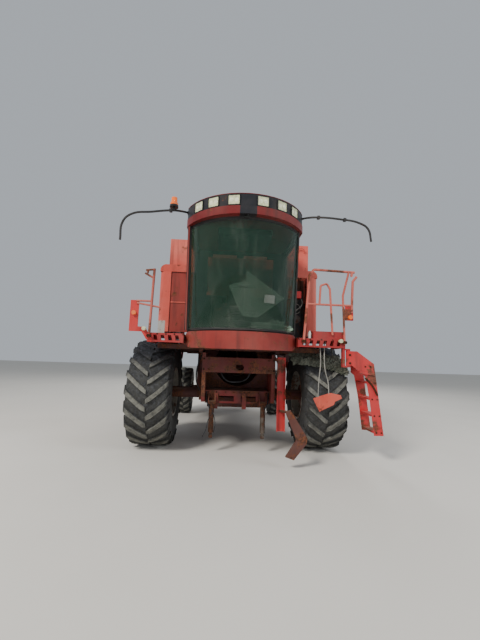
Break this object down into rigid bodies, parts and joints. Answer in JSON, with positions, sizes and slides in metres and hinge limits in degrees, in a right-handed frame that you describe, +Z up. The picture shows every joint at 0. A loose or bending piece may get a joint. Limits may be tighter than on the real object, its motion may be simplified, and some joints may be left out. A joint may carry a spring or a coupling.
{
  "type": "combine harvester without its header and feeder house",
  "caption": "Derelict self-propelled combine harvester with a curved-screen cab, grain tank, steered rear axle and folded unloading auger; its header and feeder house are gone.",
  "frame": {"origin": "on the ground, below the middle of the front axle", "axes": "+Z up, -Y to the front, +X to the machine's left side, along the front axle"},
  "size_m": [4.1447, 7.3368, 3.9728],
  "materials": {
    "red_paint": "faded red enamel, dusty",
    "dark_red": "shaded dark red enamel with rust",
    "salmon_paint": "sun bleached red enamel",
    "tyre": "dusty black tread",
    "rim_paint": "silver grey enamel",
    "bare_steel": "worn and rusty steel",
    "cast": "oily cast iron",
    "glass": "green tinted safety glass",
    "black_paint": "black enamel",
    "black_plastic": "weathered black plastic",
    "lamp": "clear lamp glass",
    "seat_cloth": "dark grey seat cloth"
  },
  "bodies": {
    "chassis": {"main_frame": "dark_red", "thresher_body": "dark_red", "throat": "dark_red", "front_axle": "dark_red", "rear_axle": "dark_red", "grain_tank": "red_paint", "tank_extension": "salmon_paint", "front_panels": "salmon_paint", "drive_bay": "bare_steel", "cab_base": "red_paint", "cab_frame": "black_paint", "cab_roof": "red_paint", "lamps": "lamp", "cab_glass": "glass", "seat": "seat_cloth", "driver_controls": "black_plastic", "left_deck": "dark_red", "right_deck": "dark_red", "mirror_arms": "black_paint", "engine": "cast", "engine_hood": "red_paint", "rear_hood": "red_paint"},
    "rotor": {"rotor": "bare_steel"},
    "front_wheel_left": {"front_tyre_left": "tyre", "front_rim_left": "rim_paint"},
    "front_wheel_right": {"front_tyre_right": "tyre", "front_rim_right": "rim_paint"},
    "steering_left": {"knuckle_left": "dark_red"},
    "steering_right": {"knuckle_right": "dark_red"},
    "tie_rod": {"tie_rod": "bare_steel"},
    "rear_wheel_left": {"rear_tyre_left": "tyre", "rear_rim_left": "rim_paint"},
    "rear_wheel_right": {"rear_tyre_right": "tyre", "rear_rim_right": "rim_paint"},
    "lift_cylinder_left": {"lift_cylinder_left": "bare_steel"},
    "lift_cylinder_right": {"lift_cylinder_right": "bare_steel"},
    "safety_channel": {"safety_channel": "red_paint"},
    "cab_door": {"cab_door": "black_paint", "door_glass": "glass"},
    "ladder": {"ladder": "red_paint"},
    "side_door_left": {"side_door_left": "red_paint"},
    "side_door_right": {"side_door_right": "red_paint"},
    "air_screen": {"air_screen": "black_plastic"},
    "unloading_auger": {"unloading_auger": "red_paint"},
    "chopper_rotor": {"chopper_rotor": "bare_steel"}
  },
  "joints": [
    {"name": "front_wheel_left_spin", "type": "hinge", "parent": "chassis", "child": "front_wheel_left", "pos_m": [1.445, 0, 0.92], "axis": [1, 0, 0], "continuous": true},
    {"name": "front_wheel_right_spin", "type": "hinge", "parent": "chassis", "child": "front_wheel_right", "pos_m": [-1.445, 0, 0.92], "axis": [1, 0, 0], "continuous": true},
    {"name": "steer_left", "type": "hinge", "parent": "chassis", "child": "steering_left", "pos_m": [1, 3.5, 0.635], "axis": [0, 0, 1], "range_deg": [-32, 32]},
    {"name": "steer_right", "type": "hinge", "parent": "chassis", "child": "steering_right", "pos_m": [-1, 3.5, 0.635], "axis": [0, 0, 1], "range_deg": [-32, 32]},
    {"name": "tie_rod_pin", "type": "hinge", "parent": "steering_left", "child": "tie_rod", "pos_m": [1, 3.73, 0.482], "axis": [0, 0, 1], "range_deg": [-32, 32]},
    {"name": "rear_wheel_left_spin", "type": "hinge", "parent": "steering_left", "child": "rear_wheel_left", "pos_m": [1.28, 3.5, 0.635], "axis": [1, 0, 0], "continuous": true},
    {"name": "rear_wheel_right_spin", "type": "hinge", "parent": "steering_right", "child": "rear_wheel_right", "pos_m": [-1.28, 3.5, 0.635], "axis": [1, 0, 0], "continuous": true},
    {"name": "rotor_spin", "type": "hinge", "parent": "chassis", "child": "rotor", "pos_m": [0, 0, 1.46], "axis": [0, 1, 0], "continuous": true},
    {"name": "lift_cylinder_left_pin", "type": "hinge", "parent": "chassis", "child": "lift_cylinder_left", "pos_m": [0.43, -0.52, 0.8], "axis": [1, 0, 0], "range_deg": [-85, 0]},
    {"name": "lift_cylinder_right_pin", "type": "hinge", "parent": "chassis", "child": "lift_cylinder_right", "pos_m": [-0.43, -0.52, 0.8], "axis": [1, 0, 0], "range_deg": [-85, 0]},
    {"name": "safety_channel_pin", "type": "hinge", "parent": "chassis", "child": "safety_channel", "pos_m": [0.7, -0.72, 1.55], "axis": [1, 0, 0], "range_deg": [-60, 0]},
    {"name": "cab_door_hinge", "type": "hinge", "parent": "chassis", "child": "cab_door", "pos_m": [0.872, -0.209, 2.5], "axis": [0, 0, 1], "range_deg": [0, 75]},
    {"name": "ladder_pin", "type": "hinge", "parent": "chassis", "child": "ladder", "pos_m": [1.7, -1.04, 1.61], "axis": [0, 0, 1], "range_deg": [-90, 0]},
    {"name": "side_door_left_hinge", "type": "hinge", "parent": "chassis", "child": "side_door_left", "pos_m": [1.5, 1.3, 3.115], "axis": [0, 1, 0], "range_deg": [-80, 0]},
    {"name": "side_door_right_hinge", "type": "hinge", "parent": "chassis", "child": "side_door_right", "pos_m": [-1.5, 1.3, 3.115], "axis": [0, 1, 0], "range_deg": [0, 80]},
    {"name": "air_screen_spin", "type": "hinge", "parent": "chassis", "child": "air_screen", "pos_m": [-1.38, 3.05, 2.805], "axis": [1, 0, 0], "continuous": true},
    {"name": "unloading_auger_swing", "type": "hinge", "parent": "chassis", "child": "unloading_auger", "pos_m": [1.562, 1.25, 3.46], "axis": [0, 0, 1], "range_deg": [-100, 0]},
    {"name": "chopper_rotor_spin", "type": "hinge", "parent": "chassis", "child": "chopper_rotor", "pos_m": [0, 5.03, 0.96], "axis": [1, 0, 0], "continuous": true}
  ],
  "couplings": [
    {"joint": "steer_right", "follows": "steer_left", "ratio": 1},
    {"joint": "tie_rod_pin", "follows": "steer_left", "ratio": -1}
  ]
}
